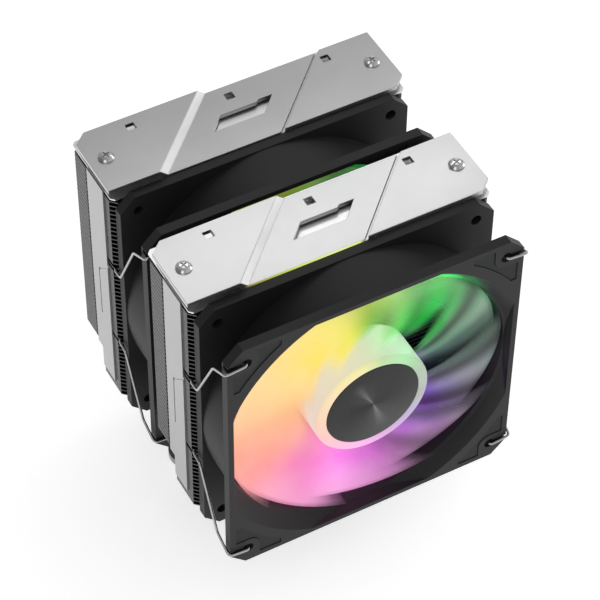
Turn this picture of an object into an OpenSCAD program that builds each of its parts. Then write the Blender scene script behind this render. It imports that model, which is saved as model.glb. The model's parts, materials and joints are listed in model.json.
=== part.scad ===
// Twin-tower processor cooler with two clipped 120 mm fans.
// Millimetres. X runs across, Y from the front fan to the rear tower, Z up.
// The origin is the centre of the contact face under the base.

/* [Fans] */
// Outside width and height of a fan frame
fan_size = 120; // [119:0.5:121]
// Depth of a fan frame
fan_depth = 25; // [25:0.5:26]
// Distance between neighbouring corner holes
hole_pitch = 105; // [104:0.5:106]
// Diameter of the corner holes
hole_d = 4.3; // [4:0.1:4.6]
// Height of the fan centres above the contact face
fan_height = 94; // [93:0.5:96]
// Number of blades on a rotor
blade_count = 9; // [7:1:11]
// Tip radius of the blades
blade_tip_r = 56.8; // [55:0.2:57]
// Angle between a blade and the plane of the rotor
blade_pitch = 34; // [30:1:40]

/* [Towers] */
// Distance between the centres of the two fin stacks
tower_pitch = 61.8; // [61.8:0.2:66]
// Width of the fins
fin_w = 122.4; // [122:0.2:123]
// Depth of the fins
fin_d = 34; // [33:0.5:34]
// Spacing of the fins
fin_pitch = 2.2; // [2.1:0.1:2.6]
// Thickness of a fin
fin_t = 0.45; // [0.4:0.05:0.6]
// Number of gaps between the fins of one stack
fin_gaps = 49; // [40:1:49]
// Corner chamfer of the fins
fin_chamfer = 2.6; // [2:0.1:3]
// How far the lowest fin is under the fan centre
fin_drop = 52.5; // [50:0.5:54]

/* [Covers] */
// Width of a top cover
cover_w = 124.6; // [124:0.2:126]
// Depth of a top cover
cover_d = 31.4; // [30:0.2:32]
// Sheet thickness of a top cover
cover_t = 1.8; // [1.6:0.1:2]
// Height of the raised left panel above the middle panel
left_rise = 2.9; // [2:0.1:3]
// Height of the right panel above the middle panel
right_rise = 1; // [0.6:0.1:1.2]

/* [Heat pipes] */
// Diameter of the heat pipes
pipe_d = 6; // [5.8:0.1:6.2]
// Spacing of the pipes in the base
pipe_pitch = 6.8; // [6.6:0.1:7]
// Centre radius of the bends
bend_r = 12; // [11:0.5:12]

/* [Base] */
// Width of the contact plate
base_w = 44; // [44:1:50]
// Depth of the contact plate
base_d = 40; // [36:1:40]
// Distance between the two spring screws
screw_span = 82; // [78:1:86]
// Travel of a spring screw against its spring
screw_travel = 5; // [3:0.5:5]

/* [Hidden] */
$fn = 72;

FRONT = -1;
REAR = 1;
LEFT = -1;
RIGHT = 1;
seat_gap = 0.05; // gap between soldered or seated parts
eps = 0.01;

// Towers
fin_bottom = fan_height - fin_drop;
fin_top = fin_bottom + fin_gaps * fin_pitch + fin_t;
top_fin_z = fin_bottom + (fin_gaps + 1) * fin_pitch;
top_fin_t = 0.6;
top_fin_chamfer = 1.4;
rail_t = 0.5;               // folded tabs that close the sides of the stack
step_depth = 16.5;          // the fins are shorter behind this distance from their front edge
step_height = 15;           // how much shorter
side_plate_t = 0.6;
side_plate_y = [6.6, 20];   // from the front edge of the fins

// Fans
fan_gap = 0.1;
flange_t = 4;
duct_r = blade_tip_r + 1;
duct_t = 1.8;
mouth_r = 63.2;
frame_corner = 6.2;         // size of the 45 degree cut at each corner of a frame
motor_base_z = fan_depth - flange_t;
motor_base_r = 24;
board_t = 1;
hub_r = 23.5;
hub_face = 1.2;             // depth of the hub face behind the front of the frame
hub_end = 18.4;
cap_r = 19.3;
cap_t = 0.8;
cup_r = 17;                 // inside radius of the cup that holds the yoke
shaft_r = 1.5;
bearing_r = 3.6;
tube_r = 4.6;
blade_t = 1.8;
blade_z = [3.4, 17.8];
pad_t = 1.2;
pad_sink = 0.3;             // how far the front pads lie below the face of the frame
pad_edge = fan_size / 2 - 2.4;
pad_r = mouth_r + 4.3;      // the pads end at this circle round the fan's axis
pad_start = 38.7;
boss_r = 4.8;

// Wire clips, measured from the front face and the centre of their fan
wire_r = 0.7;
hinge_x = 58.2;
hinge_y = fan_depth + fan_gap + 4.3;
hinge_half = 20;
hinge_clear = 0.08;
wire_out = fan_size / 2 + wire_r + 0.4;
wire_face = -wire_r - 0.15;
hook_depth = 2.2;
slot_depth = 3;

// Base
pipe_r = pipe_d / 2;
pipe_z = 6.5;
lap = 0.3;                  // how far the straight pieces of a pipe reach into its bends
bend_swell = 0.03;
block_h = 7.5;
pipe_top = top_fin_z + top_fin_t + 0.6;
lean = [42, 35, 15, 15, 35, 42];                 // outward lean of each pipe
leg_x = [43, 26.5, 9, 9, 26.5, 43];              // distance of the legs from the middle
leg_y = [38.5, 32.5, 38.5, 38.5, 32.5, 38.5];
bar_w = 16;
bar_t = 3;
bar_z = pipe_z + block_h - bar_t;
bar_top = bar_z + bar_t;

// Spring screws
thread_r = 2;
neck_r = 1.6;
head_r = 4;
head_h = 4;
washer_t = 1;
washer_r = 4.2;
spring_free = 10.8;
spring_wire_r = 0.45;
spring_r = 3.1;
spring_turns = 5;
ring_t = 0.8;
screw_tip = 1;

// Covers
cover_shift = (cover_d - fin_d) / 2;
middle_top = fan_height + 60.8;
ridge_u = [-18.3, -16.1];   // high and low edge of the sloping strip, across the diagonal
groove_u = [16.9, 18.0];
cover_screw_x = 55.5;
cover_screw_r = 1.5;

function tower_y(side) = side * tower_pitch / 2;
function fan_face(side) = tower_y(side) - fin_d / 2 - fan_gap - fan_depth;

// ---------- helpers ----------

// Puts a shape drawn about its own Z axis onto a fan's axis, depth running along +Y
module on_fan(side) translate([0, fan_face(side), fan_height]) rotate([-90, 0, 0]) children();

module ring(r_out, r_in, h) difference() {
    cylinder(r = r_out, h = h);
    translate([0, 0, -1]) cylinder(r = r_in, h = h + 2);
}

module plate_with_chamfers(w, d, c, h) linear_extrude(h) polygon([
    [-w / 2 + c, -d / 2], [w / 2 - c, -d / 2], [w / 2, -d / 2 + c], [w / 2, d / 2 - c],
    [w / 2 - c, d / 2], [-w / 2 + c, d / 2], [-w / 2, d / 2 - c], [-w / 2, -d / 2 + c]]);

// A rod from a to b with ball ends
module rod(a, b, r) {
    d = b - a;
    len = norm(d);
    translate(a) rotate([0, acos(d.z / len), atan2(d.y, d.x)]) cylinder(r = r, h = len, $fn = 32);
}

module wire(points, r) union() {
    for (i = [0 : len(points) - 2]) rod(points[i], points[i + 1], r);
    for (i = [1 : len(points) - 2]) translate(points[i]) rotate([23, 37, 11])
        sphere(r = r * 1.15, $fn = 32);
}

module pipe_bores(extra) for (i = [0 : 5], e = [-1, 1])
    translate([sign(i - 2.5) * leg_x[i], e * leg_y[i], 0]) cylinder(r = pipe_r + extra, h = 200);

module cover_screw_bores(side, r, low) for (s = [LEFT, RIGHT])
    translate([s * cover_screw_x, tower_y(side) + cover_shift, low]) cylinder(r = r, h = 60);

// ---------- base ----------

module contact_plate() color("lightsteelblue") difference() {
    union() {
        translate([0, 0, 1]) linear_extrude(pipe_z - 1) square([base_w, base_d], center = true);
        plate_with_chamfers(base_w - 3, base_d - 3, 2, 1.5);
    }
    groove_bores();
}

module groove_bores() for (i = [0 : 5]) translate([(i - 2.5) * pipe_pitch, -base_d, pipe_z])
    rotate([-90, 0, 0]) cylinder(r = pipe_r + seat_gap, h = 2 * base_d);

module clamp_block() color("silver") difference() {
    translate([0, 0, pipe_z]) plate_with_chamfers(base_w, base_d, 2, block_h);
    groove_bores();
    translate([-base_w, -bar_w / 2 - seat_gap, bar_z])
        cube([2 * base_w, bar_w + 2 * seat_gap, bar_t + 1]);
    for (s = [-1, 1]) translate([s * 13, 0, 9.8]) cylinder(r = 0.8, h = 10);
    // cooling grooves on the two free parts of the top
    for (y = [-16.5, -12.5, 12.5, 16.5]) translate([-base_w, y - 0.8, 11])
        cube([2 * base_w, 1.6, 5]);
}

module crossbar() color("dimgray") difference() {
    translate([0, 0, bar_z]) linear_extrude(bar_t) union() {
        square([screw_span, bar_w], center = true);
        for (s = [-1, 1]) translate([s * screw_span / 2, 0]) circle(bar_w / 2);
    }
    for (s = [-1, 1]) {
        translate([s * screw_span / 2, 0, 0]) cylinder(r = thread_r + 0.08, h = 40);
        translate([s * 13, 0, 0]) cylinder(r = 1.6, h = 40);
    }
    // waists between the base and the screw ends
    for (x = [-1, 1], y = [-1, 1]) translate([x * 29, y * 13, 0]) cylinder(r = 7, h = 40);
}

module crossbar_screws() color("gainsboro") for (s = [-1, 1]) translate([s * 13, 0, 0])
    union() {
        translate([0, 0, 10.2]) cylinder(r = 0.75, h = bar_top - 10.2);
        translate([0, 0, bar_z + 0.1]) cylinder(r = 1.5, h = bar_t);
        translate([0, 0, bar_top]) difference() {
            cylinder(r = 3, h = 1.8);
            for (a = [0, 90]) rotate(a) translate([-1.8, -0.4, 0.9]) cube([3.6, 0.8, 2]);
        }
    }

// ---------- heat pipes ----------

// Quarter ring or less, a hair thicker than the straight pieces that reach into its ends
module pipe_arc(angle) rotate_extrude(angle = angle) translate([bend_r, 0]) circle(pipe_r + bend_swell);

// The part of a pipe from the end of its flat run up to the vertical leg
module pipe_bends(angle, slant) rotate([0, angle, 0]) {
    translate([0, 0, bend_r]) rotate([0, 90, 0]) pipe_arc(90);
    translate([0, bend_r, bend_r - lap]) cylinder(r = pipe_r, h = slant + 2 * lap);
    translate([-bend_r, bend_r, bend_r + slant]) rotate([90, 0, 0]) pipe_arc(angle);
}

module heat_pipe(i) {
    base_x = abs(i - 2.5) * pipe_pitch;
    slant = (leg_x[i] - base_x - bend_r * (1 - cos(lean[i]))) / sin(lean[i]) - bend_r;
    leg_z = pipe_z + (bend_r + slant) * cos(lean[i]) + bend_r * sin(lean[i]);
    run = leg_y[i] - bend_r;
    color("lightgray") mirror([i < 2.5 ? 1 : 0, 0, 0]) union() {
        translate([base_x, -run - lap, pipe_z]) rotate([-90, 0, 0])
            cylinder(r = pipe_r, h = 2 * (run + lap));
        for (e = [0, 1]) mirror([0, e, 0]) {
            translate([base_x, run, pipe_z]) pipe_bends(lean[i], slant);
            translate([leg_x[i], leg_y[i], leg_z - lap])
                cylinder(r = pipe_r, h = pipe_top - 0.5 - leg_z + lap);
            translate([leg_x[i], leg_y[i], pipe_top - 0.5]) cylinder(r1 = pipe_r, r2 = pipe_r - 0.8, h = 0.5);
        }
    }
}

// ---------- spring screws ----------

module at_screw(s) translate([s * screw_span / 2, 0, 0]) children();

module spring_screw(s) color("gainsboro") at_screw(s) {
    head_z = bar_top + spring_free + washer_t;
    ring_z = bar_z - ring_t - 0.05;
    difference() {
        union() {
            translate([0, 0, screw_tip]) cylinder(r = thread_r, h = ring_z - 0.1 - screw_tip);
            translate([0, 0, ring_z - 0.2]) cylinder(r = neck_r, h = ring_t + 0.4);
            translate([0, 0, ring_z + ring_t + 0.1]) cylinder(r = thread_r, h = head_z - ring_z - ring_t);
            translate([0, 0, head_z]) cylinder(r = head_r, h = head_h);
        }
        for (a = [0, 90]) rotate(a) translate([-2.4, -0.6, head_z + 1.6]) cube([4.8, 1.2, 4]);
    }
}

module thrust_washer(s) color("silver") at_screw(s)
    translate([0, 0, bar_top + spring_free]) ring(washer_r, thread_r + 0.06, washer_t - 0.02);

module retaining_ring(s) color("dimgray") at_screw(s)
    translate([0, 0, bar_z - ring_t - 0.05]) difference() {
        ring(3.4, neck_r + 0.03, ring_t);
        translate([0, -neck_r * 0.75, -1]) cube([5, neck_r * 1.5, 4]);
    }

// Closed tube swept along a helix
function helix_point(t, k, n) = let (
        a = 360 * spring_turns * t,
        b = 360 * k / n,
        z = spring_wire_r + (spring_free - 2 * spring_wire_r - 0.2) * t)
    [(spring_r + spring_wire_r * cos(b)) * cos(a), (spring_r + spring_wire_r * cos(b)) * sin(a),
     z + 0.1 + spring_wire_r * sin(b)];

module helix_spring(steps, n) {
    points = [for (s = [0 : steps], k = [0 : n - 1]) helix_point(s / steps, k, n)];
    walls = [for (s = [0 : steps - 1], k = [0 : n - 1])
        [s * n + k, (s + 1) * n + k, (s + 1) * n + (k + 1) % n, s * n + (k + 1) % n]];
    first = [for (k = [0 : n - 1]) k];
    last = [for (k = [n - 1 : -1 : 0]) steps * n + k];
    polyhedron(points = points, faces = concat(walls, [first, last]), convexity = 8);
}

module screw_spring(s) color("silver") at_screw(s) translate([0, 0, bar_top])
    helix_spring(spring_turns * 20, 8);

// ---------- towers ----------

module fin_ladder() difference() {
    translate([-fin_w / 2, fin_bottom]) square([fin_w, fin_top - fin_bottom]);
    for (i = [0 : fin_gaps - 1]) translate([-fin_w / 2 + rail_t, fin_bottom + fin_t + i * fin_pitch])
        square([fin_w - 2 * rail_t, fin_pitch - fin_t]);
}

// Room in the fins for the hinge bar and the legs of both wire clips of a fan
module clip_room(side) for (s = [LEFT, RIGHT]) {
    y = fan_face(side) + hinge_y;
    translate([s * hinge_x, y, fan_height - hinge_half - 1])
        cylinder(r = wire_r + hinge_clear, h = 2 * hinge_half + 2, $fn = 32);
    for (z = [-hinge_half, hinge_half])
        translate([s > 0 ? hinge_x - 1.2 : -hinge_x - 10 + 1.2, y - 6, fan_height + z - 1.1])
            cube([10, 12, 2.2]);
}

module fin_stack(side) color([0.17, 0.17, 0.18]) difference() {
    intersection() {
        translate([0, tower_y(side) + fin_d / 2, 0]) rotate([90, 0, 0])
            linear_extrude(fin_d) fin_ladder();
        translate([0, tower_y(side), fin_bottom - 1])
            plate_with_chamfers(fin_w, fin_d, fin_chamfer, fin_top - fin_bottom + 2);
    }
    translate([-fin_w, tower_y(side) - fin_d / 2 + step_depth, fin_bottom - 1])
        cube([2 * fin_w, fin_d, step_height + 1]);
    pipe_bores(seat_gap);
    cover_screw_bores(side, cover_screw_r + 0.1, fin_top - 6);
    clip_room(side);
}

module top_fin(side) color("silver") difference() {
    translate([0, tower_y(side), top_fin_z]) plate_with_chamfers(fin_w, fin_d, top_fin_chamfer, top_fin_t);
    pipe_bores(seat_gap);
    cover_screw_bores(side, cover_screw_r + 0.1, fin_top - 6);
}

module side_outline() polygon([
    [side_plate_y[0], 4.2], [step_depth - 0.2, 4.2], [step_depth - 0.2, step_height],
    [side_plate_y[1], step_height], [side_plate_y[1], top_fin_z - fin_bottom],
    [side_plate_y[0], top_fin_z - fin_bottom]]);

// Slanted panel outline, open towards the front
module panel_line(inset) {
    front = side_plate_y[0] - 2;
    rear = 14.7 - inset;
    low = fin_drop - 16 + inset;
    high = fin_drop + 9.4 - inset;
    polygon([[front, low + rear - front], [rear, low], [rear, high], [front, high + rear - front]]);
}

module side_plate(side, s) color("silver") {
    x = s > 0 ? fin_w / 2 : -fin_w / 2 - side_plate_t;
    translate([x, tower_y(side) - fin_d / 2, fin_bottom]) rotate([90, 0, 90]) difference() {
        linear_extrude(side_plate_t) side_outline();
        translate([0, 0, s > 0 ? side_plate_t - 0.3 : -1]) linear_extrude(1.3) difference() {
            panel_line(0);
            panel_line(0.6);
        }
    }
}

// ---------- covers ----------

// Section across the diagonal of a cover: high panel, sloping strip, middle panel, groove, right panel
module cover_section() polygon([
    [-90, left_rise], [ridge_u[0], left_rise], [ridge_u[1], 0], [groove_u[0], 0],
    [groove_u[0], -cover_t / 2], [groove_u[1], -cover_t / 2], [groove_u[1], right_rise],
    [90, right_rise], [90, right_rise - cover_t], [groove_u[1] + 1, right_rise - cover_t],
    [groove_u[1] + 1, -cover_t], [ridge_u[1] - 0.7, -cover_t],
    [ridge_u[0] - 0.7, left_rise - cover_t], [-90, left_rise - cover_t]]);

module cover_outline() {
    w = cover_w / 2;
    d = cover_d / 2;
    cx = 5.1;
    cy = 4.6;
    polygon([[-w, -d], [w - cx, -d], [w, -d + cy], [w, d], [-w + cx, d], [-w, d - cy]]);
}

module top_cover(side) color([0.8, 0.8, 0.82]) {
    seat = top_fin_z + top_fin_t - middle_top;
    translate([0, tower_y(side) + cover_shift, middle_top]) difference() {
        union() {
            intersection() {
                rotate([0, 0, -45]) rotate([90, 0, 0])
                    linear_extrude(200, center = true) cover_section();
                translate([0, 0, -10]) linear_extrude(20) cover_outline();
            }
            translate([-cover_screw_x, 0, seat]) cylinder(r = 3.3, h = left_rise - cover_t / 2 - seat);
            translate([cover_screw_x, 0, seat]) cylinder(r = 3.3, h = right_rise - cover_t / 2 - seat);
        }
        for (s = [-1, 1]) translate([s * cover_screw_x, 0, -20])
            cylinder(r = cover_screw_r + 0.1, h = 40);
        // slanted window and three small square holes
        translate([0.6, 0, -5]) linear_extrude(10)
            polygon([[-14.5, -3.9], [6.9, -3.9], [14.1, 3.6], [8.1, 3.6], [7.1, 2.6], [-8.2, 2.6]]);
        for (x = [-40.5, 0.3, 41.2]) translate([x - 1.7, 8.6, -5]) cube([3.4, 3.4, 14]);
    }
}

module cover_screws(side) color("gainsboro")
    for (s = [LEFT, RIGHT]) {
        top = middle_top + (s < 0 ? left_rise : right_rise);
        translate([s * cover_screw_x, tower_y(side) + cover_shift, 0]) union() {
            translate([0, 0, fin_top - 5]) cylinder(r = cover_screw_r, h = top - fin_top + 5.2);
            translate([0, 0, top]) difference() {
                rotate_extrude() polygon([[0, 0], [3.05, 0], [3.05, 0.5], [2.4, 1.2], [1.5, 1.6], [0, 1.7]]);
                for (a = [20, 110]) rotate(a) translate([-1.5, -0.3, 0.9]) cube([3, 0.6, 2]);
            }
        }
    }

// ---------- fans ----------

module corner_holes(r, h) for (x = [-1, 1], y = [-1, 1])
    translate([x * hole_pitch / 2, y * hole_pitch / 2, -1]) cylinder(r = r, h = h + 2);

// Slots that let the clip hooks slide out sideways
module hook_slots() for (x = [-1, 1], y = [-1, 1])
    translate([x * (hole_pitch / 2 + 5), y * hole_pitch / 2, 0])
        cube([10, 2 * (wire_r + 0.3), 2 * slot_depth], center = true);

// Four pads, each between the mouth of the duct and the plain corner round a screw hole
module pad_outline() for (x = [0, 1], y = [0, 1]) mirror([x, 0, 0]) mirror([0, y, 0])
    difference() {
        translate([pad_start, pad_start]) square(pad_edge - pad_start);
        circle(pad_r);
        translate([hole_pitch / 2, hole_pitch / 2]) {
            circle(boss_r);
            translate([-boss_r, 0]) square(20);
            translate([0, -boss_r]) square(20);
        }
    }

// The mouth widens towards the front over its first millimetres
module fan_bore() {
    translate([0, 0, -1]) cylinder(r = duct_r, h = fan_depth + 2);
    intersection() {
        translate([0, 0, -0.5]) cylinder(r1 = mouth_r + 0.5, r2 = duct_r, h = 5.5);
        translate([0, 0, -1]) linear_extrude(8) square(2 * duct_r, center = true);
    }
}

module flange(z) difference() {
    translate([0, 0, z]) plate_with_chamfers(fan_size, fan_size, frame_corner, flange_t);
    corner_holes(hole_d / 2, fan_depth);
    hook_slots();
}

module front_flange(side) color([0.1, 0.1, 0.11]) on_fan(side) difference() {
    flange(0);
    fan_bore();
    translate([0, 0, -1]) linear_extrude(pad_t + 1) pad_outline();
}

module rear_flange(side) color([0.1, 0.1, 0.11]) on_fan(side) difference() {
    union() {
        difference() {
            flange(fan_depth - flange_t);
            fan_bore();
            translate([0, 0, fan_depth - pad_t]) linear_extrude(pad_t + 1) pad_outline();
        }
        intersection() {
            motor_mount();
            cylinder(r = duct_r + 0.5, h = fan_depth);
        }
    }
    translate([0, 0, motor_base_z - 20]) cylinder(r = bearing_r + 0.02, h = 23);
}

module duct(side) color([0.1, 0.1, 0.11]) on_fan(side) difference() {
    intersection() {
        translate([0, 0, flange_t]) cylinder(r = duct_r + duct_t, h = fan_depth - 2 * flange_t);
        translate([0, 0, -1]) linear_extrude(fan_depth + 2) square(fan_size, center = true);
    }
    fan_bore();
}

// Motor base, bearing tube and the four arms that carry them
module motor_mount() {
    translate([0, 0, motor_base_z]) cylinder(r = motor_base_r, h = fan_depth - motor_base_z + 1);
    translate([0, 0, 8.5]) cylinder(r = tube_r, h = motor_base_z - 8);
    for (a = [30 : 90 : 300]) rotate(a) translate([motor_base_r - 2, -2.5, motor_base_z + 0.6])
        cube([40, 5, 6]);
}

module fan_pads(side) color([0.16, 0.16, 0.17]) on_fan(side) {
    translate([0, 0, pad_sink]) linear_extrude(pad_t - pad_sink) pad_outline();
    translate([0, 0, fan_depth - pad_t]) linear_extrude(pad_t) pad_outline();
}

module blade() intersection() {
    translate([0, 0, blade_z[0]]) ring(blade_tip_r, hub_r - 1, blade_z[1] - blade_z[0]);
    translate([0, 0, (blade_z[0] + blade_z[1]) / 2]) rotate([blade_pitch, 0, 0])
        translate([hub_r - 3, -20, -blade_t / 2]) cube([40, 40, blade_t]);
}

module fan_rotor(side) color([0.93, 0.93, 0.95]) on_fan(side) difference() {
    union() {
        translate([0, 0, hub_face]) ring(hub_r, hub_r - 1.8, hub_end - hub_face);
        translate([0, 0, hub_face]) cylinder(r = hub_r, h = 3);
        translate([0, 0, hub_face]) ring(cup_r + 1.5, cup_r, hub_end - hub_face - 1);
        translate([0, 0, hub_face]) cylinder(r = 4, h = 6);
        for (i = [0 : blade_count - 1]) rotate(360 / blade_count * i) blade();
    }
    translate([0, 0, -1]) cylinder(r = cap_r + 0.1, h = 1 + hub_face + cap_t);
    translate([0, 0, -1]) cylinder(r = shaft_r, h = 20);
}

module hub_cap(side) color([0.2, 0.2, 0.21]) on_fan(side)
    translate([0, 0, hub_face]) cylinder(r = cap_r, h = cap_t);

module rotor_yoke(side) color("gray") on_fan(side)
    translate([0, 0, hub_face + 3]) ring(cup_r, cup_r - 1, 12);

module ring_magnet(side) color([0.25, 0.23, 0.22]) on_fan(side)
    translate([0, 0, hub_face + 4]) ring(cup_r - 1, cup_r - 2.8, 10);

module motor_shaft(side) color("gainsboro") on_fan(side)
    translate([0, 0, hub_face + cap_t]) cylinder(r = shaft_r, h = 18.4);

module sleeve_bearing(side) color("goldenrod") on_fan(side)
    translate([0, 0, 9]) ring(bearing_r, shaft_r + 0.04, 12);

module motor_stator(side) color("slategray") on_fan(side) translate([0, 0, 10]) difference() {
    union() {
        cylinder(r = 7, h = 6);
        for (a = [0 : 90 : 270]) rotate(a) {
            translate([6, -1.6, 0]) cube([6.5, 3.2, 6]);
            intersection() {
                ring(13.6, 11.8, 6);
                translate([8, -7, -1]) cube([10, 14, 8]);
            }
        }
    }
    translate([0, 0, -1]) cylinder(r = tube_r + 0.02, h = 9);
}

module motor_coils(side) color("peru") on_fan(side) for (a = [0 : 90 : 270]) rotate(a)
    translate([7.4, 0, 0]) difference() {
        translate([0, -3, 8.8]) cube([4, 6, 8.4]);
        translate([-1, -1.65, 9.95]) cube([8, 3.3, 6.1]);
    }

module light_board(side) color("darkgreen") on_fan(side) {
    translate([0, 0, motor_base_z - board_t]) ring(motor_base_r - 0.5, tube_r + 0.05, board_t);
    for (i = [0 : 7]) rotate(45 * i) translate([19.2, -1.2, motor_base_z - board_t - 0.9])
        cube([2.4, 2.4, 0.9 + eps]);
}

// ---------- wire clips ----------

function reversed(list) = [for (i = [len(list) - 1 : -1 : 0]) list[i]];

function clip_arm(z) = [
    [hinge_x, hinge_y, z * hinge_half],
    [wire_out, hinge_y - 2.8, z * hinge_half],
    [wire_out, hinge_y - 8, z * (hinge_half + 0.6)],
    [wire_out + 0.2, 8, z * 47],
    [wire_out, wire_face, z * 51.6],
    [hole_pitch / 2, wire_face, z * hole_pitch / 2],
    [hole_pitch / 2, hook_depth, z * hole_pitch / 2]];

module wire_clip(side, s) color("silver") translate([0, fan_face(side), fan_height])
    mirror([s < 0 ? 1 : 0, 0, 0]) wire(concat(reversed(clip_arm(-1)), clip_arm(1)), wire_r);

contact_plate();
clamp_block();
crossbar();
crossbar_screws();
heat_pipe(0);  // heat_pipe_1
heat_pipe(1);  // heat_pipe_2
heat_pipe(2);  // heat_pipe_3
heat_pipe(3);  // heat_pipe_4
heat_pipe(4);  // heat_pipe_5
heat_pipe(5);  // heat_pipe_6
spring_screw(LEFT);  // spring_screw_left
spring_screw(RIGHT);  // spring_screw_right
thrust_washer(LEFT);  // thrust_washer_left
thrust_washer(RIGHT);  // thrust_washer_right
retaining_ring(LEFT);  // retaining_ring_left
retaining_ring(RIGHT);  // retaining_ring_right
screw_spring(LEFT);  // spring_left
screw_spring(RIGHT);  // spring_right
fin_stack(FRONT);  // front_fins
fin_stack(REAR);  // rear_fins
top_fin(FRONT);  // front_top_fin
top_fin(REAR);  // rear_top_fin
side_plate(FRONT, LEFT);  // front_side_plate_left
side_plate(FRONT, RIGHT);  // front_side_plate_right
side_plate(REAR, LEFT);  // rear_side_plate_left
side_plate(REAR, RIGHT);  // rear_side_plate_right
top_cover(FRONT);  // front_cover
top_cover(REAR);  // rear_cover
cover_screws(FRONT);  // front_cover_screws
cover_screws(REAR);  // rear_cover_screws
front_flange(FRONT);  // front_fan_front_flange
duct(FRONT);  // front_fan_duct
rear_flange(FRONT);  // front_fan_rear_flange
front_flange(REAR);  // rear_fan_front_flange
duct(REAR);  // rear_fan_duct
rear_flange(REAR);  // rear_fan_rear_flange
fan_pads(FRONT);  // front_fan_pads
fan_pads(REAR);  // rear_fan_pads
fan_rotor(FRONT);  // front_fan_rotor
fan_rotor(REAR);  // rear_fan_rotor
hub_cap(FRONT);  // front_hub_cap
hub_cap(REAR);  // rear_hub_cap
rotor_yoke(FRONT);  // front_rotor_yoke
rotor_yoke(REAR);  // rear_rotor_yoke
ring_magnet(FRONT);  // front_ring_magnet
ring_magnet(REAR);  // rear_ring_magnet
motor_shaft(FRONT);  // front_shaft
motor_shaft(REAR);  // rear_shaft
sleeve_bearing(FRONT);  // front_bearing
sleeve_bearing(REAR);  // rear_bearing
motor_stator(FRONT);  // front_stator
motor_stator(REAR);  // rear_stator
motor_coils(FRONT);  // front_coils
motor_coils(REAR);  // rear_coils
light_board(FRONT);  // front_light_board
light_board(REAR);  // rear_light_board
wire_clip(FRONT, LEFT);  // front_clip_left
wire_clip(FRONT, RIGHT);  // front_clip_right
wire_clip(REAR, LEFT);  // rear_clip_left
wire_clip(REAR, RIGHT);  // rear_clip_right
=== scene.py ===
"""Looks of the twin-tower processor cooler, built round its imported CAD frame.

Lengths are in millimetres and are turned into metres by MM, unless a comment says that they are in metres.
X runs across, Y from the front fan to the rear tower, Z up. A fan's own pieces are made round its axis, with
depth counted from the fan's front face along +Y.
"""

import json
import math

import bpy
import bmesh
from mathutils import Matrix, Vector


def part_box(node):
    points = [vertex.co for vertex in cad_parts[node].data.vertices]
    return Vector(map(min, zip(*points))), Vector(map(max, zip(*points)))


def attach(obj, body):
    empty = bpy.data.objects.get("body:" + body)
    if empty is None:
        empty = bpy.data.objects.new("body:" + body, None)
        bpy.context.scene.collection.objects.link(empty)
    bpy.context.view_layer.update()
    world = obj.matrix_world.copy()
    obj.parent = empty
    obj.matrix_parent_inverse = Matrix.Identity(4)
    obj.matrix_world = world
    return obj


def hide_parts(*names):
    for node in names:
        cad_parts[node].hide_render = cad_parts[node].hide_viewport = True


MM = 0.001
FULL_TURN = 2 * math.pi

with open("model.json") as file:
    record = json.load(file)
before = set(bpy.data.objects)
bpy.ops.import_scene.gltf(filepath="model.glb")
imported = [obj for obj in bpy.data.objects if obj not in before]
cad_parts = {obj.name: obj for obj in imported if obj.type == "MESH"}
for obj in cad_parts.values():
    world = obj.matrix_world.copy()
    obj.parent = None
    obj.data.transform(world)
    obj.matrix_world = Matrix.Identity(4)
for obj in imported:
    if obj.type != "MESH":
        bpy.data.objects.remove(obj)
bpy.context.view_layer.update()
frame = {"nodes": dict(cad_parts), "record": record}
nodes = frame["nodes"]
SLOTS = {row["node"]: row["material_slot"] for row in frame["record"]["subparts"]}
FANS = ("front", "rear")


def cad_box(node):
    """Lowest and highest corner of a CAD node at rest, in millimetres."""
    return [Vector([round(v / MM, 3) for v in corner]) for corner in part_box(node)]


def fan_middle(fan):
    """The point where a fan's axis meets its front face."""
    low, high = cad_box(f"{fan}_fan_front_flange")
    return Vector((0, low.y, (low.z + high.z) / 2))


# ---------- sizes ----------

# Fins
FIN_COUNT = 50
FIN_THICK = 0.45
FIN_CHAMFER = 2.6
FOOT_DEPTH = 16.5            # a stack reaches down to its foot with its front part only
FOOT_HEIGHT = 14.8
TAB_THICK = 0.35
FRONT_TAB = (2.7, 6.6)       # reach of the front tabs along Y, from the front of the stack
PLATE_TAB_END = 19.95        # the tabs behind the side plate follow them, up to here
REAR_TAB_START = 22.4
FRONT_TAB_GAP = 0.12         # what a tab leaves free under the next fin
REAR_TAB_GAP = 0.35
BACK_MARGIN = 0.05           # what a tab leaves free at the back of a short fin
NOTCH_REACH = 0.55           # of a fin's pitch, above and below a clip's hinge

# Fan rotor
HUB_R = 23.5
CAP_R = 19.3
HUB_BACK = 18.2
HUB_WALL = 1.8
HUB_FLOOR = (2.2, 4.2)       # front and back of the hub's floor
BOSS_R = 4.0                 # the hole in that floor
CAP_GAP = 0.15
LATHE_STEPS = 160

# Blades. A pair goes from the root to the tip, and angles are in degrees
BLADES = 9
FIRST_BLADE = math.degrees(0.25)
BLADE_R = (HUB_R - 0.6, 57.0)
BLADE_LEAD = -4              # angle of a blade's middle line at the root
BLADE_SWEEP = 15             # how far that line has turned at the tip
SWEEP_POWER = 1.4
BLADE_HALF_ANGLE = (34, 36)
BLADE_PITCH = (7.0, 4.4)     # depth from the middle line to an edge
BLADE_DEPTH = (10.6, 7.6)
BLADE_CAMBER = 1.6
BLADE_HALF_THICK = 0.75
EDGE_THINNING = 0.75
EDGE_FADE = 0.62             # share of the half width over which a side edge fades out
ROOT_FADE = 0.2              # shares of the length over which the root and the tip fade out
TIP_FADE = 0.08
BLADE_STEPS = 16

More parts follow.
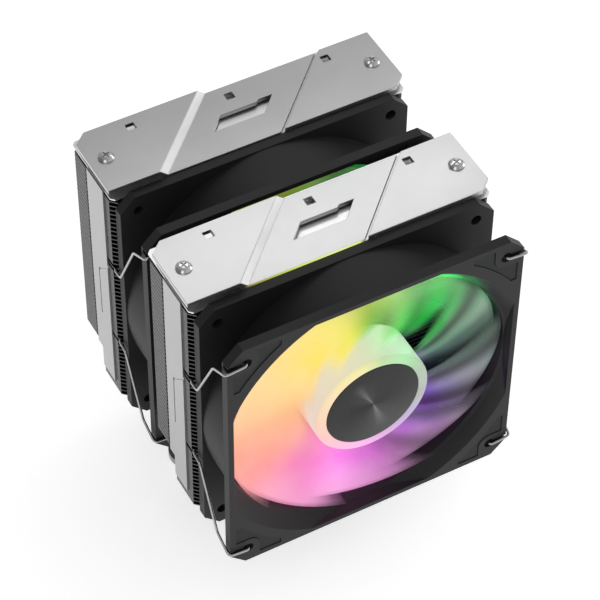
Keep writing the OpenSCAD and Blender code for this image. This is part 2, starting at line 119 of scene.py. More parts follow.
# Wire clips, from the fan's axis and front face
HOOK = 52.5                  # the corner holes
HINGE_X, HINGE_DEPTH, HINGE_Z = 58.2, 29.4, 20
ARM_X = 61.1                 # the arms run outside the frame
KNEE_DEPTH, KNEE_Z = 8, 47   # where an arm has spread to
FRONT_DEPTH = -0.85          # the arms cross the front of the frame here
HOOK_DEPTH = 2.2
BEND_R = 1.6
WIRE_R = 0.54


# ---------- shader nodes ----------

def shader(name):
    mat = bpy.data.materials.new(name)
    mat.use_nodes = True
    tree = mat.node_tree
    return mat, tree, tree.nodes["Principled BSDF"]


def connect(tree, value, socket):
    """Links an output to a socket, or sets a plain number or colour on it."""
    if isinstance(value, (int, float)):
        socket.default_value = value
    elif isinstance(value, tuple):
        socket.default_value = (*value, 1)
    else:
        tree.links.new(value, socket)


def coordinates(tree, kind="Object"):
    return tree.nodes.new("ShaderNodeTexCoord").outputs[kind]


def separate(tree, vector):
    node = tree.nodes.new("ShaderNodeSeparateXYZ")
    tree.links.new(vector, node.inputs["Vector"])
    return node.outputs


def math_node(tree, operation, a, b=None):
    node = tree.nodes.new("ShaderNodeMath")
    node.operation = operation
    connect(tree, a, node.inputs[0])
    if b is not None:
        connect(tree, b, node.inputs[1])
    return node.outputs["Value"]


def multiply_colours(tree, a, b):
    node = tree.nodes.new("ShaderNodeVectorMath")
    node.operation = "MULTIPLY"
    tree.links.new(a, node.inputs[0])
    tree.links.new(b, node.inputs[1])
    return node.outputs["Vector"]


def mix_colour(tree, factor, a, b):
    node = tree.nodes.new("ShaderNodeMix")
    node.data_type = "RGBA"
    connect(tree, factor, node.inputs[0])
    connect(tree, a, node.inputs[6])
    connect(tree, b, node.inputs[7])
    return node.outputs[2]


def noise(tree, scale, stretch=(1, 1, 1), detail=3.0):
    """Noise in object space. Scale is in cells per metre."""
    mapping = tree.nodes.new("ShaderNodeMapping")
    mapping.inputs["Scale"].default_value = stretch
    tex = tree.nodes.new("ShaderNodeTexNoise")
    tex.inputs["Scale"].default_value = scale
    tex.inputs["Detail"].default_value = detail
    tex.inputs["Roughness"].default_value = 0.6
    tree.links.new(coordinates(tree), mapping.inputs["Vector"])
    tree.links.new(mapping.outputs["Vector"], tex.inputs["Vector"])
    return tex.outputs["Fac"]


def ramp(tree, factor, stops, mode="LINEAR"):
    """A colour ramp. Each stop is a position and either a colour or one level of grey."""
    node = tree.nodes.new("ShaderNodeValToRGB")
    node.color_ramp.interpolation = mode
    elements = node.color_ramp.elements
    while len(elements) < len(stops):
        elements.new(0.5)
    for element, (position, colour) in zip(elements, stops):
        element.position = position
        element.color = (*colour, 1) if isinstance(colour, tuple) else (colour, colour, colour, 1)
    tree.links.new(factor, node.inputs["Fac"])
    return node.outputs["Color"]


def spread(tree, factor, low, high, start=0.3, end=0.7):
    """Takes start to end over to low to high, and stays there beyond."""
    node = tree.nodes.new("ShaderNodeMapRange")
    node.inputs["From Min"].default_value = start
    node.inputs["From Max"].default_value = end
    node.inputs["To Min"].default_value = low
    node.inputs["To Max"].default_value = high
    tree.links.new(factor, node.inputs["Value"])
    return node.outputs["Result"]


def bump(tree, bsdf, height, strength, depth):
    node = tree.nodes.new("ShaderNodeBump")
    node.inputs["Strength"].default_value = strength
    node.inputs["Distance"].default_value = depth
    tree.links.new(height, node.inputs["Height"])
    tree.links.new(node.outputs["Normal"], bsdf.inputs["Normal"])


def turn_share(tree):
    """Share of a turn round the fan's axis, and distance from it in metres.

    The share is 0 at +X and rises towards +Z.
    """
    place = separate(tree, coordinates(tree))
    angle = math_node(tree, "ARCTAN2", place["Z"], place["X"])
    share = math_node(tree, "FRACT", math_node(tree, "DIVIDE", angle, FULL_TURN))
    flat = tree.nodes.new("ShaderNodeCombineXYZ")
    tree.links.new(place["X"], flat.inputs["X"])
    tree.links.new(place["Z"], flat.inputs["Y"])
    length = tree.nodes.new("ShaderNodeVectorMath")
    length.operation = "LENGTH"
    tree.links.new(flat.outputs["Vector"], length.inputs[0])
    return share, length.outputs["Value"]


# ---------- materials ----------

def shade(colour, factor):
    return tuple(min(1.0, c * factor) for c in colour)


def screen(red, green, blue):
    """A colour given as 0 to 255 on a screen, turned into a linear one."""
    shares = (c / 255 for c in (red, green, blue))
    return tuple(c / 12.92 if c < 0.0404 else ((c + 0.055) / 1.055) ** 2.4 for c in shares)


def finish_material(name, colour, metallic, rough, grain=1400, contrast=0.08, relief=0.05, depth=0.00004,
                    stretch=(1, 1, 1), rough_spread=0.06, cloud=25, specular=0.5, coat=0.0):
    """A procedural finish: fine grain for the relief and roughness, soft clouds for the colour.

    Grain and cloud are in cells per metre, and depth is in metres.
    """
    mat, tree, bsdf = shader(name)
    fine = noise(tree, grain, stretch)
    soft = noise(tree, cloud, detail=2.0)
    clouds = ramp(tree, soft, [(0.3, shade(colour, 1 - contrast)), (0.7, shade(colour, 1 + contrast))])
    tree.links.new(clouds, bsdf.inputs["Base Color"])
    roughness = spread(tree, fine, rough - rough_spread, rough + rough_spread)
    tree.links.new(roughness, bsdf.inputs["Roughness"])
    bsdf.inputs["Metallic"].default_value = metallic
    bsdf.inputs["Specular IOR Level"].default_value = specular
    bsdf.inputs["Coat Weight"].default_value = coat
    if relief:
        bump(tree, bsdf, fine, relief, depth)
    return mat


# Brightness of the hub cap by share of a turn: a painted highlight of two narrow bright wedges, standing in
# for the highlights that turned metal catches
CAP_PAINTED_HIGHLIGHT = [(0.00, 0.7), (0.20, 0.9), (0.29, 1.5), (0.33, 5.0), (0.37, 1.4), (0.50, 0.5), (0.68, 0.9),
              (0.75, 1.6), (0.80, 5.5), (0.85, 1.5), (1.00, 0.7)]
PAINTED_HIGHLIGHT_END = 0.016            # radius in metres, past which the painted highlight has faded out


def spun_material(name, colour, rough, anisotropy):
    """Metal with circular brush marks round the fan's axis, and a painted highlight of two bright wedges near
    the centre.
    """
    mat, tree, bsdf = shader(name)
    share, radius = turn_share(tree)
    rings = tree.nodes.new("ShaderNodeTexNoise")
    rings.noise_dimensions = "1D"
    rings.inputs["Scale"].default_value = 5200
    rings.inputs["Detail"].default_value = 2
    tree.links.new(radius, rings.inputs["W"])
    # Painted highlight: two bright wedges by share of a turn, mixed into the brush marks near the centre
    painted_highlight_wedges = ramp(tree, share, CAP_PAINTED_HIGHLIGHT, "EASE")
    marks = ramp(tree, rings.outputs["Fac"], [(0.3, shade(colour, 0.8)), (0.7, shade(colour, 1.25))])
    marks_with_painted_highlight = multiply_colours(tree, painted_highlight_wedges, marks)
    fade = spread(tree, radius, 0.15, 1.0, 0.0, PAINTED_HIGHLIGHT_END)
    tree.links.new(mix_colour(tree, fade, marks_with_painted_highlight, marks), bsdf.inputs["Base Color"])
    tree.links.new(spread(tree, rings.outputs["Fac"], rough - 0.05, rough + 0.05), bsdf.inputs["Roughness"])
    bsdf.inputs["Metallic"].default_value = 1.0
    bsdf.inputs["Anisotropic"].default_value = anisotropy
    tangent = tree.nodes.new("ShaderNodeTangent")
    tangent.direction_type = "RADIAL"
    tangent.axis = "Y"
    tree.links.new(tangent.outputs["Tangent"], bsdf.inputs["Tangent"])
    bump(tree, bsdf, rings.outputs["Fac"], 0.25, 0.00001)
    return mat


# Glow colours by share of a turn round the fan, near the hub and near the blade tips
GLOW_HUB = [(0.00, screen(70, 120, 105)), (0.06, screen(10, 125, 60)), (0.11, screen(25, 190, 60)),
            (0.16, screen(70, 225, 80)), (0.22, screen(120, 200, 40)), (0.28, screen(235, 225, 50)),
            (0.34, screen(255, 222, 70)), (0.41, screen(253, 208, 125)), (0.50, screen(254, 172, 118)),
            (0.57, screen(255, 145, 150)), (0.65, screen(255, 100, 205)), (0.72, screen(252, 70, 235)),
            (0.78, screen(215, 30, 215)), (0.84, screen(150, 20, 190)), (0.90, screen(90, 40, 170)),
            (0.95, screen(50, 45, 95)), (1.00, screen(70, 120, 105))]
GLOW_TIP = [(0.00, screen(125, 142, 138)), (0.06, screen(90, 140, 115)), (0.11, screen(60, 165, 90)),
            (0.17, screen(150, 220, 130)), (0.23, screen(180, 215, 90)), (0.29, screen(240, 232, 95)),
            (0.36, screen(254, 215, 115)), (0.43, screen(255, 200, 135)), (0.50, screen(254, 160, 118)),
            (0.58, screen(255, 145, 155)), (0.66, screen(255, 150, 205)), (0.72, screen(250, 165, 225)),
            (0.79, screen(200, 130, 185)), (0.86, screen(130, 90, 125)), (0.93, screen(100, 100, 110)),
            (1.00, screen(120, 140, 135))]
HUE_CHANGE = (0.036, 0.057)  # radii in metres, between which the hub's colours turn into the tips'

# Bright and dark streaks that the turning blades leave, by share of a turn
STREAKS = [(0.00, 0.70), (0.03, 0.14), (0.065, 0.75), (0.11, 0.40), (0.155, 0.82), (0.20, 0.60), (0.26, 0.80),
           (0.38, 0.86), (0.45, 0.77), (0.53, 0.80), (0.60, 0.72), (0.66, 0.84), (0.735, 0.62), (0.765, 0.34),
           (0.80, 0.84), (0.845, 0.22), (0.885, 0.95), (0.93, 0.12), (0.965, 0.42), (0.99, 0.80)]
STREAK_GAIN = 1.25
SWIRL = 0.075                # how far a streak winds round from the hub to the tip, as a share of a turn
SWIRL_END = 0.0566           # radius in metres at which it has wound that far

# How much of the fins behind the blades is hidden, by share of a turn
COVERING = [(0.0, 1.0), (0.09, 0.95), (0.14, 0.6), (0.20, 0.55), (0.25, 0.85), (0.30, 1.0)]


def lit_material(name, whiteness, strength, soft_edges, rough=0.32):
    """Milky plastic lit from inside by coloured lamps. Soft edges follow the mesh's own "soft" attribute."""
    mat, tree, bsdf = shader(name)
    share, radius = turn_share(tree)
    outward = spread(tree, radius, 0.0, 1.0, *HUE_CHANGE)
    hue = mix_colour(tree, outward, ramp(tree, share, GLOW_HUB), ramp(tree, share, GLOW_TIP))
    pale = mix_colour(tree, whiteness, hue, screen(246, 246, 238))
    cloudy = spread(tree, noise(tree, 45, detail=2.0), 0.0, 0.14)
    bsdf.inputs["Base Color"].default_value = (0.06, 0.06, 0.06, 1)
    bsdf.inputs["Roughness"].default_value = rough
    bsdf.inputs["Specular IOR Level"].default_value = 0.3
    tree.links.new(mix_colour(tree, cloudy, pale, screen(255, 250, 240)), bsdf.inputs["Emission Color"])
    bsdf.inputs["Emission Strength"].default_value = strength
    if soft_edges:
        swirl = spread(tree, radius, 0.0, SWIRL, HUB_R * MM, SWIRL_END)
        wound = math_node(tree, "FRACT", math_node(tree, "SUBTRACT", share, swirl))
        streaks = ramp(tree, wound, STREAKS, "EASE")
        power = math_node(tree, "MULTIPLY", streaks, strength * STREAK_GAIN)
        tree.links.new(power, bsdf.inputs["Emission Strength"])
        attribute = tree.nodes.new("ShaderNodeAttribute")
        attribute.attribute_name = "soft"
        alpha = math_node(tree, "MULTIPLY", attribute.outputs["Fac"], ramp(tree, share, COVERING))
        tree.links.new(alpha, bsdf.inputs["Alpha"])
    return mat


def cover_material(fan, lit_tone):
    """Smooth aluminium of a top cover, in a tone set by how brightly that cover is lit, as painted light and
    shade.
    """
    return finish_material(f"{fan} cover aluminium", (lit_tone, lit_tone, lit_tone + 0.004), 1.0, 0.33, grain=900,
                           stretch=(1, 1, 30), contrast=0.03, relief=0.0, cloud=40, rough_spread=0.01)


# The glow painted on the front cover's edge, in place of light from the fan under it: reach along X in
# metres, and colours along it
GLOW_EDGE_X = (-0.040, 0.0085)
GLOW_EDGE = [(0.0, 0), (0.08, screen(150, 140, 40)), (0.45, screen(205, 225, 90)),
             (0.8, screen(230, 246, 150)), (0.96, screen(215, 235, 120)), (1.0, 0)]


def painted_edge_glow(material):
    """Copy of a cover's material with a glow painted on its front edge, as painted light from the fan under
    it.
    """
    mat = material.copy()
    mat.name = "satin aluminium with painted edge glow"
    tree = mat.node_tree
    bsdf = tree.nodes["Principled BSDF"]
    edge_y = cad_box("front_cover")[0].y * MM
    spot = separate(tree, coordinates(tree))
    facing = separate(tree, coordinates(tree, "Normal"))
    front = spread(tree, facing["Y"], 1.0, 0.0, -0.8, -0.25)
    near = spread(tree, spot["Y"], 1.0, 0.0, edge_y + 0.0009, edge_y + 0.0017)
    along = spread(tree, spot["X"], 0.0, 1.0, *GLOW_EDGE_X)
    # Painted light: emission on the front edge stands in for the fan's glow falling on it
    tree.links.new(ramp(tree, along, GLOW_EDGE), bsdf.inputs["Emission Color"])
    tree.links.new(math_node(tree, "MULTIPLY", front, near), bsdf.inputs["Emission Strength"])
    return mat


# The materials of the record's slots
MATERIALS = {
    "nickel_copper": finish_material("nickel plate", (0.50, 0.485, 0.465), 1.0, 0.20, relief=0.03,
                                     contrast=0.05),
    "blasted_aluminium": finish_material("blasted aluminium", (0.46, 0.46, 0.47), 1.0, 0.42, grain=3800,
                                         contrast=0.02, relief=0.25, depth=0.00003, cloud=14),
    "silver_aluminium": finish_material("satin aluminium", (0.43, 0.43, 0.435), 1.0, 0.33, grain=900,
                                        stretch=(1, 1, 30), contrast=0.03, relief=0.06),
    "dark_fins": finish_material("black nickel fins", (0.105, 0.105, 0.108), 1.0, 0.30, contrast=0.1,
                                 relief=0.04),
    "plated_steel": finish_material("zinc plated steel", (0.30, 0.30, 0.31), 1.0, 0.34),
    "bright_steel": finish_material("bright steel", (0.55, 0.55, 0.56), 1.0, 0.16, relief=0.02,
                                    rough_spread=0.03),
    "black_plastic": finish_material("black plastic", (0.013, 0.013, 0.0135), 0.0, 0.52, grain=5200,
                                     contrast=0.1, relief=0.18, depth=0.00002, specular=0.28),
    "rubber_pad": finish_material("rubber pad", (0.010, 0.011, 0.012), 0.0, 0.6, grain=4200, contrast=0.1,
                                  relief=0.2, depth=0.00002, specular=0.3),
    "dark_cap": spun_material("spun cap with painted highlight", (0.042, 0.042, 0.042), 0.26, 0.9),
    "magnet": finish_material("magnet", (0.06, 0.055, 0.05), 0.2, 0.6),
    "bearing_brass": finish_material("sintered brass", (0.62, 0.46, 0.22), 1.0, 0.4),
    "lamination": finish_material("steel laminations", (0.30, 0.32, 0.36), 1.0, 0.4, stretch=(1, 20, 1)),
    "copper_wire": finish_material("enamelled wire", (0.60, 0.24, 0.10), 1.0, 0.3, stretch=(1, 6, 6)),
    "board": finish_material("circuit board", (0.012, 0.07, 0.03), 0.0, 0.35, coat=0.3),
    "lit_blades": lit_material("lit plastic", 0.0, 0.95, True),
}

# The rear fan's light is dimmer than the front fan's
LIT_BLADES = {"front": MATERIALS["lit_blades"], "rear": lit_material("dim lit plastic", 0.0, 0.4, True)}
LIT_HUB = {"front": lit_material("lit hub wall", 0.68, 0.78, False, 0.5),
           "rear": lit_material("dim lit hub wall", 0.55, 0.35, False, 0.5)}
LIT_RING = {"front": lit_material("lit ring", 0.38, 0.92, False),
            "rear": lit_material("dim lit ring", 0.5, 0.45, False)}
WIRE = finish_material("spring wire", (0.42, 0.42, 0.43), 1.0, 0.24, relief=0.02, rough_spread=0.04)
# The tabs are the fins' own black nickel, given a darker tone as painted shade between the fins
FIN_TABS_PAINTED_SHADE = finish_material("black nickel tabs darkened as painted shade", (0.055, 0.055, 0.057), 1.0, 0.34, relief=0.04)
# The top fins are silver aluminium given a much lighter tone, as painted light, so they look bright in the
# shade under the covers
TOP_FIN_PAINTED_LIGHT = finish_material("top fin brightened as painted light", (0.80, 0.80, 0.80), 1.0, 0.36, relief=0.03)

# CAD nodes that have another material than their slot's
SPECIAL = {
    # The covers are one aluminium: the front one gets a lighter tone and the rear one a darker tone, as
    # painted light and shade
    "front_cover": painted_edge_glow(cover_material("front", 0.56)),
    "rear_cover": cover_material("rear", 0.50),
    "front_top_fin": TOP_FIN_PAINTED_LIGHT,
    "rear_top_fin": TOP_FIN_PAINTED_LIGHT,
}


# ---------- mesh helpers ----------

def place_piece(obj, node, body, replaced=True):
    """Rides a piece on its body. It stands for a CAD node, which it replaces unless another piece does."""
    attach(obj, body)
    if replaced:
        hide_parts(node)


class Solid:
    """Collects closed shapes, in millimetres from the piece's origin, into one mesh."""
    def __init__(self):
        self.verts, self.faces, self.slots = [], [], []

    def add(self, shape, slot=0):
        verts, faces = shape
        base = len(self.verts)
        self.verts += list(verts)
        self.faces += [tuple(base + i for i in face) for face in faces]
        self.slots += [slot] * len(faces)

    def make(self, name, materials, node, body, origin=(0, 0, 0), sharp=35, replaced=True):
        mesh = bpy.data.meshes.new(name)
        mesh.from_pydata([Vector(v) * MM for v in self.verts], [], self.faces)
        bm = bmesh.new()
        bm.from_mesh(mesh)
        bmesh.ops.recalc_face_normals(bm, faces=bm.faces)
        bm.to_mesh(mesh)
        bm.free()
        mesh.shade_smooth()
        mesh.set_sharp_from_angle(angle=math.radians(sharp))
        for mat in materials:
            mesh.materials.append(mat)
        mesh.polygons.foreach_set("material_index", self.slots)
        obj = bpy.data.objects.new(name, mesh)
        bpy.context.scene.collection.objects.link(obj)
        obj.location = Vector(origin) * MM
        place_piece(obj, node, body, replaced)
        return obj


def prism(outline, low, high):
    """Closed upright prism over a simple outline in X and Y."""
    n = len(outline)
    verts = [(x, y, low) for x, y in outline] + [(x, y, high) for x, y in outline]
    faces = [tuple(range(n - 1, -1, -1)), tuple(range(n, 2 * n))]
    faces += [(i, (i + 1) % n, n + (i + 1) % n, n + i) for i in range(n)]
    return verts, faces


def box_shape(x0, x1, y0, y1, z0, z1):
    return prism([(x0, y0), (x1, y0), (x1, y1), (x0, y1)], z0, z1)


def lathe(profile, close=True):
    """Turns (radius, depth) points round the fan's axis. A closed profile makes a ring."""
    n = len(profile)
    count = n if close else n - 1
    verts, faces = [], []
    for step in range(LATHE_STEPS):
        a = FULL_TURN * step / LATHE_STEPS
        verts += [(r * math.cos(a), depth, r * math.sin(a)) for r, depth in profile]
        this, other = step * n, (step + 1) % LATHE_STEPS * n
        faces += [(this + i, this + (i + 1) % n, other + (i + 1) % n, other + i) for i in range(count)]
    return verts, faces


def rounded_path(points, radius, steps=6):
    """A polyline with each inner corner turned into a smooth curve."""
    points = [Vector(p) for p in points]
    path = [points[0]]
    for before, corner, after in zip(points, points[1:], points[2:]):
        a, b = before - corner, after - corner
        cut = min(radius, a.length * 0.45, b.length * 0.45)
        start, end = corner + a.normalized() * cut, corner + b.normalized() * cut
        for i in range(steps + 1):
            t = i / steps
            path.append(start * (1 - t) ** 2 + corner * 2 * t * (1 - t) + end * t ** 2)
    path.append(points[-1])
    return path


def tube(path, radius, sides=14, end_share=0.6, end_length=0.45):
    """Closed tube along a path. Its ends narrow to a share of the radius over a length counted in radii."""
    last = len(path) - 1
    tangents = [(path[min(last, i + 1)] - path[max(0, i - 1)]).normalized() for i in range(last + 1)]
    side = tangents[0].orthogonal().normalized()
    rings = []
    for point, tangent in zip(path, tangents):
        side = (side - tangent * side.dot(tangent)).normalized()
        rings.append((point, side.copy(), tangent.cross(side), radius))
    start, start_side, start_up, _ = rings[0]
    end, end_side, end_up, _ = rings[-1]
    rings[0] = (start + tangents[0] * radius * end_length, start_side, start_up, radius)
    rings[-1] = (end - tangents[-1] * radius * end_length, end_side, end_up, radius)
    rings.insert(0, (start, start_side, start_up, radius * end_share))
    rings.append((end, end_side, end_up, radius * end_share))
    verts, faces = [], []
    for point, across, up, r in rings:
        for k in range(sides):
            a = FULL_TURN * k / sides
            verts.append(tuple(point + (across * math.cos(a) + up * math.sin(a)) * r))
    for i in range(len(rings) - 1):
        this, other = i * sides, (i + 1) * sides
        for k in range(sides):
            beside = (k + 1) % sides
            faces.append((this + k, this + beside, other + beside, other + k))
    faces.append(tuple(range(sides - 1, -1, -1)))
    faces.append(tuple((len(rings) - 1) * sides + k for k in range(sides)))
    return verts, faces


def soften_edges(obj, width):
    """Rounds a CAD mesh's edges, once its triangles are joined into whole flat faces."""
    joined = obj.modifiers.new("weld", "WELD")
    joined.merge_threshold = 0.001 * MM
    flat = obj.modifiers.new("flat faces", "DECIMATE")
    flat.decimate_type = "DISSOLVE"
    flat.angle_limit = math.radians(0.5)
    rounded = obj.modifiers.new("bevel", "BEVEL")
    rounded.width = width * MM
    rounded.segments = 2
    rounded.limit_method = "ANGLE"
    rounded.angle_limit = math.radians(30)
    rounded.harden_normals = False
    rounded.use_clamp_overlap = True


# ---------- fins ----------

def fin_outline(half, y_front, y_back, chamfer_back):
    c = FIN_CHAMFER
    outline = [(-half, y_front + c), (-half + c, y_front), (half - c, y_front), (half, y_front + c)]
    if chamfer_back:
        return outline + [(half, y_back - c), (half - c, y_back), (-half + c, y_back), (-half, y_back - c)]
    return outline + [(half, y_back), (-half, y_back)]


def build_fins(fan):
    """A stack of fins with folded tabs between them at both sides. The front tabs leave notches for clips."""
    low, high = cad_box(f"{fan}_fins")
    half, y_front = high.x, low.y
    pitch = (high.z - low.z - FIN_THICK) / (FIN_COUNT - 1)
    foot_top = low.z + FOOT_HEIGHT
    fan_z = fan_middle(fan).z
    stack = Solid()
    for i in range(FIN_COUNT):
        z = low.z + i * pitch
        short = z < foot_top
        y_back = y_front + FOOT_DEPTH if short else high.y
        stack.add(prism(fin_outline(half, y_front, y_back, not short), z, z + FIN_THICK))
        if i == FIN_COUNT - 1:
            continue
        tab_low, tab_high = z + FIN_THICK, z + pitch
        tab_z = z + pitch / 2
        notch = any(abs(tab_z - fan_z - s * HINGE_Z) < pitch * NOTCH_REACH for s in (-1, 1))
        for x0, x1 in ((-half, -half + TAB_THICK), (half - TAB_THICK, half)):
            start, middle = y_front + FRONT_TAB[0], y_front + FRONT_TAB[1]
            if not notch:
                stack.add(box_shape(x0, x1, start, middle, tab_low, tab_high - FRONT_TAB_GAP), 1)
            plate_end = min(y_back - BACK_MARGIN, y_front + PLATE_TAB_END)
            stack.add(box_shape(x0, x1, middle, plate_end, tab_low, tab_high), 1)
            if not short:
                rear_start, rear_end = y_front + REAR_TAB_START, y_back - FIN_CHAMFER
                stack.add(box_shape(x0, x1, rear_start, rear_end, tab_low, tab_high - REAR_TAB_GAP), 1)
    stack.make(f"{fan}_fin_stack", [MATERIALS["dark_fins"], FIN_TABS_PAINTED_SHADE], f"{fan}_fins", "cooler_body")


# ---------- fans ----------

def between(pair, t):
    return pair[0] + (pair[1] - pair[0]) * t


def blade_softness(t, s):
    """How solid a blade looks, from its root to its tip and across its width."""
    edge = min(1.0, (1 - abs(s)) / EDGE_FADE)
    tip = min(1.0, (1.03 - t) / TIP_FADE)
    root = min(1.0, (t + 0.03) / ROOT_FADE)
    return 0.02 + 0.94 * edge * edge * (3 - 2 * edge) * tip * root


def blade_shape(degrees):
    """A curved blade. Returns its shape, and the softness of each vertex."""
    verts, faces, soft = [], [], []
    n = BLADE_STEPS
    for side in (-1, 1):
        for i in range(n + 1):
            t = i / n
            r = between(BLADE_R, t)
            centre = math.radians(degrees + BLADE_LEAD + BLADE_SWEEP * t ** SWEEP_POWER)
            for k in range(n + 1):
                s = k / n * 2 - 1
                a = centre - s * math.radians(between(BLADE_HALF_ANGLE, t))
                depth = between(BLADE_DEPTH, t) + s * between(BLADE_PITCH, t) + BLADE_CAMBER * (1 - s * s)
                thick = BLADE_HALF_THICK * (1 - EDGE_THINNING * abs(s) ** 3)
                verts.append((r * math.cos(a), depth + side * thick, r * math.sin(a)))
                soft.append(blade_softness(t, s))
    row = n + 1
    layer = row * row
    for i in range(n):
        for k in range(n):
            a = i * row + k
            b = a + layer
            faces.append((a, a + 1, a + row + 1, a + row))
            faces.append((b, b + row, b + row + 1, b + 1))
    for i in range(n):
        for k in (0, n):
            a, b = i * row + k, (i + 1) * row + k
            faces.append((a, b, b + layer, a + layer))
    for k in range(n):
        for i in (0, n):
            a, b = i * row + k, i * row + k + 1
            faces.append((a, b, b + layer, a + layer))
    return (verts, faces), soft


def build_rotor(fan):
    """Blades, hub with its lit ring, and cap, round the fan's axis."""
    rotor = f"{fan}_fan_rotor"
    place = {"body": f"{fan}_rotor", "origin": fan_middle(fan)}
    blades = Solid()
    softness = []
    for i in range(BLADES):
        shape, soft = blade_shape(360 * i / BLADES + FIRST_BLADE)
        blades.add(shape)
        softness += soft
    blades_obj = blades.make(f"{fan}_blades", [LIT_BLADES[fan]], rotor, **place)
    attribute = blades_obj.data.attributes.new("soft", "FLOAT", "POINT")
    attribute.data.foreach_set("value", softness)

    # The ring round the cap, over the rounded rim, along the wall and back inside to the hole for the shaft
    floor_front, floor_back = HUB_FLOOR
    recess, inside = CAP_R + CAP_GAP, HUB_R - HUB_WALL
    hub = Solid()
    hub.add(lathe([(recess, floor_front), (recess, 1.35), (recess + 0.2, 1.2), (HUB_R - 1.3, 1.2),
                   (HUB_R - 0.5, 1.45), (HUB_R - 0.1, 2.1), (HUB_R, 3.2), (HUB_R, HUB_BACK),
                   (inside, HUB_BACK), (inside, floor_back), (BOSS_R, floor_back), (BOSS_R, floor_front)]))
    hub_obj = hub.make(f"{fan}_hub", [LIT_HUB[fan], LIT_RING[fan]], rotor, replaced=False, **place)
    for polygon in hub_obj.data.polygons:
        centre = polygon.center / MM
        on_ring = centre.y < floor_front + 0.1 and math.hypot(centre.x, centre.z) > CAP_R
        polygon.material_index = 1 if on_ring else 0

    cap = Solid()
    cap.add(lathe([(0.0, 1.05), (CAP_R - 0.5, 1.05), (CAP_R - 0.15, 1.15), (CAP_R, 1.4), (CAP_R, 2.0),
                   (0.0, 2.0)], close=False))
    cap.make(f"{fan}_cap", [MATERIALS["dark_cap"]], f"{fan}_hub_cap", **place)


# ---------- clips ----------

def clip_arm(z):
    """One arm of a clip, from its hinge in the fins to its hook in a corner hole. Z is -1 or 1."""
    return [(HINGE_X, HINGE_DEPTH, z * HINGE_Z), (ARM_X, HINGE_DEPTH - 2.8, z * HINGE_Z),
            (ARM_X, HINGE_DEPTH - 8, z * (HINGE_Z + 0.6)), (ARM_X + 0.2, KNEE_DEPTH, z * KNEE_Z),
            (ARM_X, FRONT_DEPTH, z * (HOOK - 0.9)), (HOOK, FRONT_DEPTH, z * HOOK),
            (HOOK, HOOK_DEPTH, z * HOOK)]


def build_clip(fan, side):
    s = -1 if side == "left" else 1
    middle = fan_middle(fan)
    points = clip_arm(-1)[::-1] + clip_arm(1)
    wire = Solid()
    wire.add(tube(rounded_path([middle + Vector((s * x, y, z)) for x, y, z in points], BEND_R), WIRE_R))
    wire.make(f"{fan}_{side}_wire", [WIRE], f"{fan}_clip_{side}", f"{fan}_{side}_clip", sharp=50)


# ---------- put together ----------

for fan in FANS:
    build_fins(fan)
    build_rotor(fan)
    for side in ("left", "right"):
        build_clip(fan, side)

# Width of the rounded edges of the CAD nodes that have them
EDGE_WIDTHS = {"contact_plate": 0.25, "clamp_block": 0.25, "crossbar": 0.3, "front_cover": 0.2,
               "rear_cover": 0.2, "front_fan_pads": 0.2, "rear_fan_pads": 0.2,
               "front_fan_front_flange": 0.35, "rear_fan_rear_flange": 0.35}
for name, obj in nodes.items():
    obj.data.materials.clear()
    obj.data.materials.append(SPECIAL.get(name, MATERIALS[SLOTS[name]]))
    if name in EDGE_WIDTHS:
        soften_edges(obj, EDGE_WIDTHS[name])


# ---------- floor and lights ----------

scene = bpy.context.scene
scene.view_settings.view_transform = "Standard"


def build_floor():
    mat, tree, bsdf = shader("floor")
    tree.links.new(ramp(tree, noise(tree, 3.0), [(0.3, 0.90), (0.7, 0.93)]), bsdf.inputs["Base Color"])
    bsdf.inputs["Roughness"].default_value = 0.9
    bsdf.inputs["Emission Color"].default_value = (1, 1, 1, 1)
    bsdf.inputs["Emission Strength"].default_value = 0.58
    bpy.ops.mesh.primitive_plane_add(size=14, location=(0, 0, -0.0003))
    floor = bpy.context.object
    floor.name = "floor"
    floor.data.materials.append(mat)


def build_world():
    """A pale studio, brighter on the right."""
    world = bpy.data.worlds.new("studio")
    scene.world = world
    world.use_nodes = True
    tree = world.node_tree
    direction = separate(tree, coordinates(tree, "Generated"))
    height = ramp(tree, direction["Z"], [(0.0, 0.75), (0.35, 1.0), (0.8, 0.85), (1.0, 0.8)])
    across = spread(tree, direction["X"], 0.33, 1.0, -0.9, 0.3)
    background = tree.nodes["Background"]
    tree.links.new(multiply_colours(tree, height, across), background.inputs["Color"])
    background.inputs["Strength"].default_value = 0.72


def area_light(name, location, size, size_y, power):
    """A rectangular lamp that faces down until it is turned. Places and sizes are in metres."""
    data = bpy.data.lights.new(name, "AREA")
    data.shape = "RECTANGLE"
    data.size = size
    data.size_y = size_y
    data.energy = power
    obj = bpy.data.objects.new(name, data)
    scene.collection.objects.link(obj)
    obj.location = location
    return obj


def aim(obj, target):
    obj.rotation_mode = "QUATERNION"
    obj.rotation_quaternion = (Vector(target) - obj.location).to_track_quat("-Z", "Y")


def point_light(name, location, power, colour, radius=0.012):
    """A small lamp. Its place is in millimetres, its radius in metres."""
    data = bpy.data.lights.new(name, "POINT")
    data.energy = power
    data.color = colour
    data.shadow_soft_size = radius
    obj = bpy.data.objects.new(name, data)
    scene.collection.objects.link(obj)
    obj.location = Vector(location) * MM


# Lamps in each fan's duct, behind its blades: angle in degrees, colour and power in watts
LAMPS = ((200, (1.0, 0.40, 0.20), 0.02), (270, (0.9, 0.15, 0.9), 0.02), (310, (0.35, 0.1, 0.8), 0.008),
         (25, (0.03, 0.9, 0.2), 0.05), (45, (0.08, 0.95, 0.15), 0.06), (70, (0.35, 0.95, 0.1), 0.05),
         (115, (1.0, 0.85, 0.1), 0.03))
LAMP_R, LAMP_DEPTH = 46, 17
LAMP_SHARE = {"front": 1.0, "rear": 0.2}

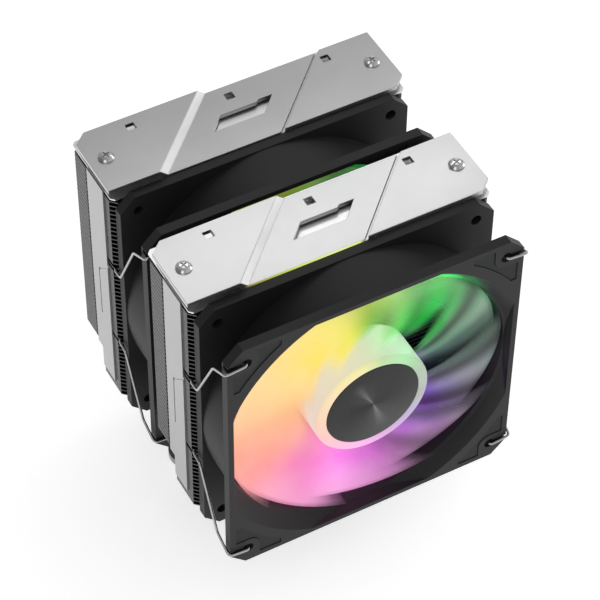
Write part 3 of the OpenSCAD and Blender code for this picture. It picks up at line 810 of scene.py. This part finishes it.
# Faint lamps under the square holes of the front cover: place along X and colour
HOLE_LAMPS = ((-43.5, (0.7, 0.7, 0.05)), (-2.7, (0.1, 0.8, 0.02)), (38.2, (0.3, 0.4, 0.2)))
HOLE_LAMP_Y, HOLE_LAMP_Z = -20.0, 153.4


def build_lights():
    aim(area_light("key", (-0.9, -0.9, 1.5), 0.9, 0.9, 3), (0, 0, 0.08))
    over = area_light("over the front cover", (0.073, 0.097, 0.319), 0.22, 0.045, 0.055)
    over.rotation_euler = (math.radians(-38), 0, 0)
    over.visible_camera = False
    aim(area_light("right", (1.6, -0.15, 0.25), 0.9, 0.9, 4.2), (0, 0, 0.15))
    for fan in FANS:
        middle = fan_middle(fan)
        for degrees, colour, power in LAMPS:
            a = math.radians(degrees)
            offset = Vector((LAMP_R * math.cos(a), LAMP_DEPTH, LAMP_R * math.sin(a)))
            point_light(f"{fan} lamp {degrees}", middle + offset, power * LAMP_SHARE[fan], colour)
    for x, colour in HOLE_LAMPS:
        point_light(f"hole lamp {x:.0f}", (x, HOLE_LAMP_Y, HOLE_LAMP_Z), 0.00012, colour, 0.001)


# ---------- camera ----------

CAMERA_PLACE = (-0.32774, -0.60271, 0.84256)         # metres
CAMERA_YAW, CAMERA_PITCH, CAMERA_ROLL = 29.2, 48.01, 0.64        # degrees: to the right, down, and tilted
SENSOR, LENS = 36.0, 160.13


def build_camera():
    yaw, pitch, roll = (math.radians(a) for a in (CAMERA_YAW, CAMERA_PITCH, CAMERA_ROLL))
    ahead = Vector((math.sin(yaw) * math.cos(pitch), math.cos(yaw) * math.cos(pitch), -math.sin(pitch)))
    right = ahead.cross(Vector((0, 0, 1))).normalized()
    up = right.cross(ahead)
    right, up = (right * math.cos(roll) + up * math.sin(roll), up * math.cos(roll) - right * math.sin(roll))
    data = bpy.data.cameras.new("camera")
    data.sensor_width = SENSOR
    data.lens = LENS
    data.clip_start, data.clip_end = 0.05, 30
    obj = bpy.data.objects.new("camera", data)
    scene.collection.objects.link(obj)
    turn = Matrix((right, up, -ahead)).transposed()
    obj.matrix_world = Matrix.Translation(CAMERA_PLACE) @ turn.to_4x4()
    scene.camera = obj


build_floor()
build_world()
build_lights()
build_camera()
